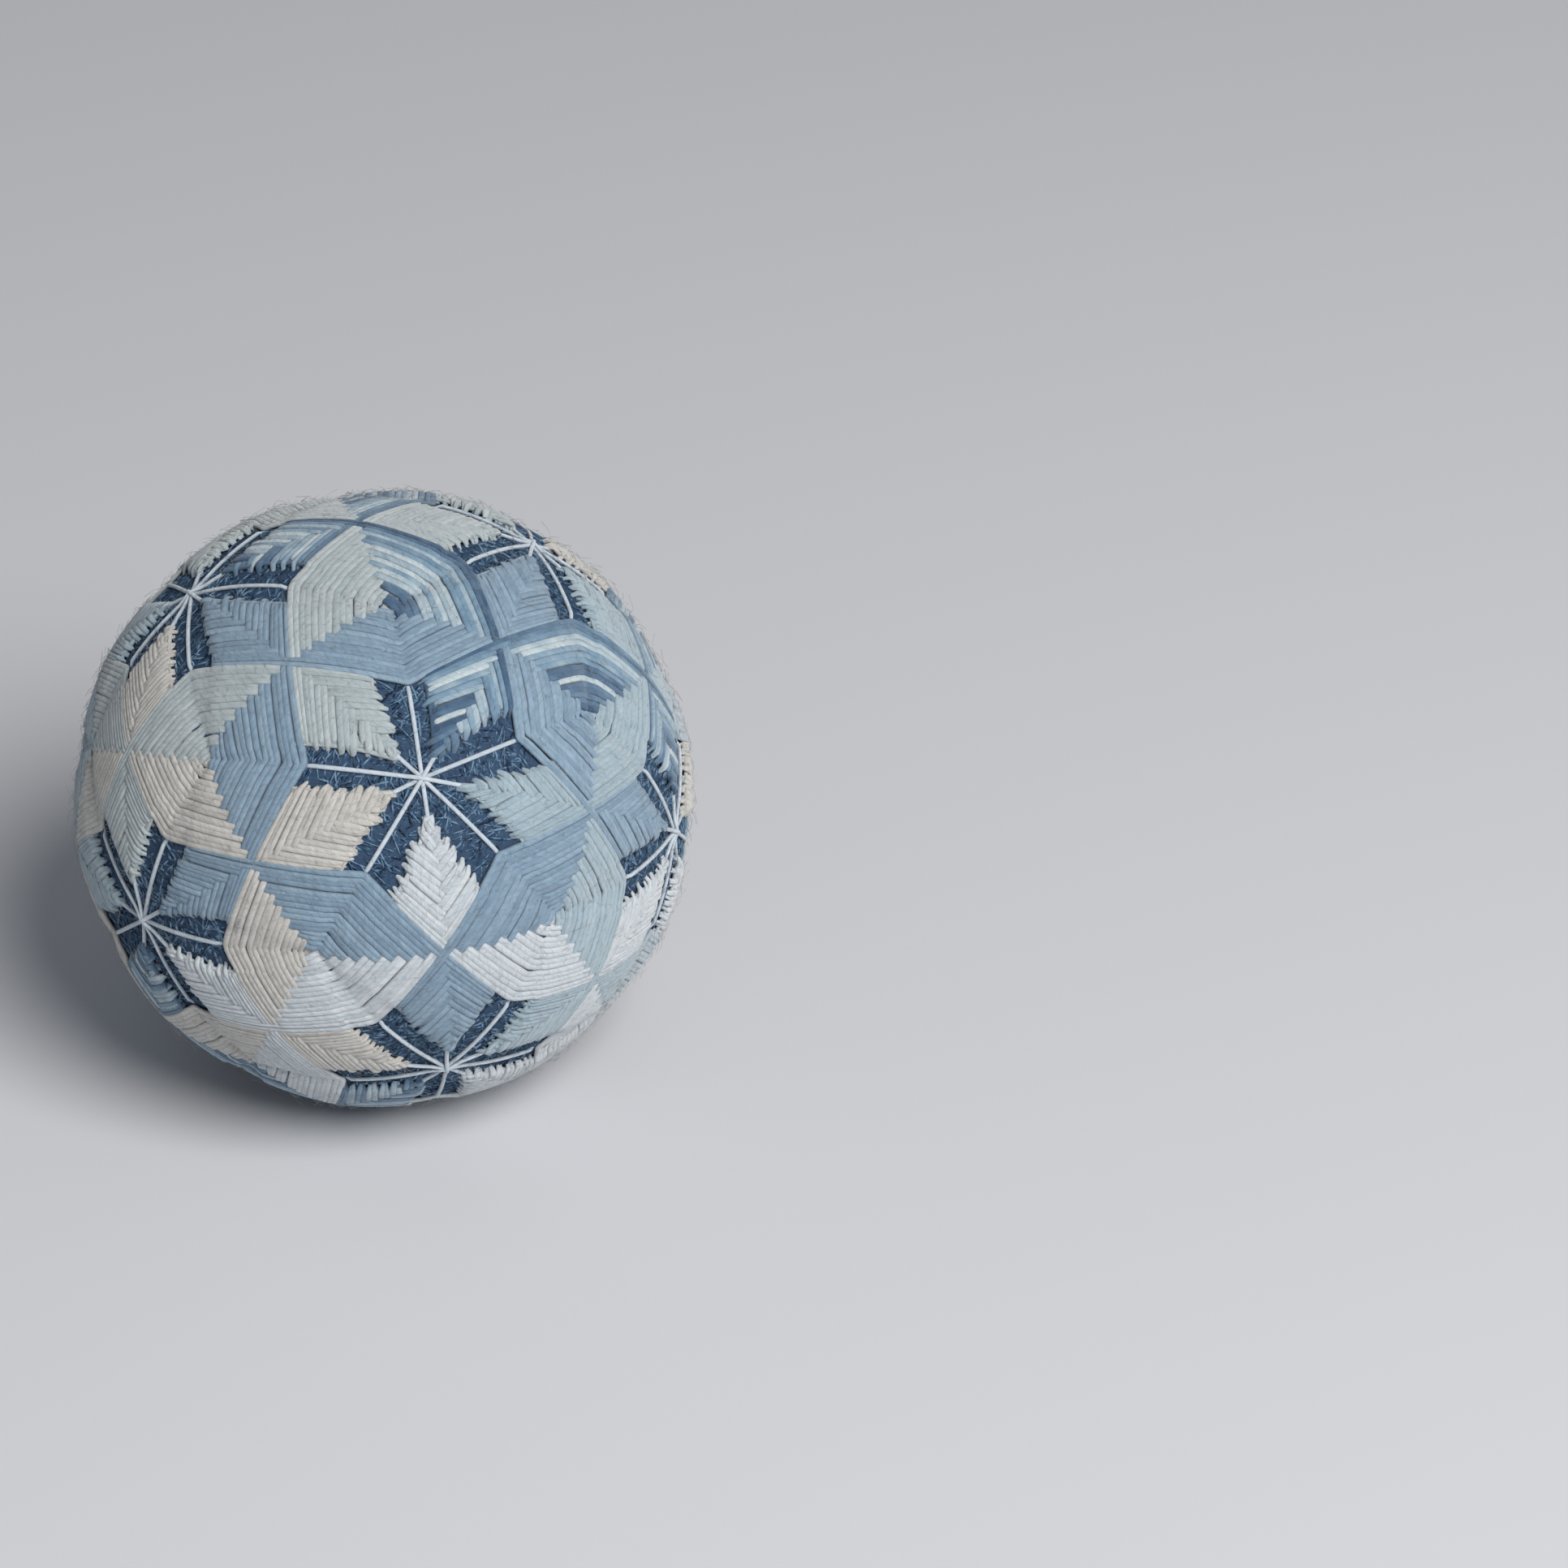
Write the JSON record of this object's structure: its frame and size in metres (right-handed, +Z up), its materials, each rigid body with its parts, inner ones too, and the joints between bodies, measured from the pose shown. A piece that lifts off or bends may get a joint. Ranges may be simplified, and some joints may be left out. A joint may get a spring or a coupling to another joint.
{
  "type": "temari ball",
  "caption": "Stitched thread ball covered in interlocking five-pointed stars of blue, white and cream cotton, with bare navy bands and white guide threads at each star's centre.",
  "frame": {"origin": "middle of the flat spot that the ball rests on, under the middle of the ball", "axes": "+Z up out of the surface it rests on, -Y towards the viewer, +X to the viewer's right"},
  "size_m": [0.085, 0.0846, 0.0838],
  "materials": {
    "mid_blue_cotton": "matte",
    "deep_blue_cotton": "matte",
    "pale_blue_cotton": "matte",
    "pale_green_cotton": "matte",
    "cool_white_cotton": "matte",
    "cream_cotton": "matte",
    "navy_winding": "matte",
    "white_guide_thread": "matte"
  },
  "bodies": {
    "root": {"temari_ball": "mid_blue_cotton"}
  },
  "joints": []
}
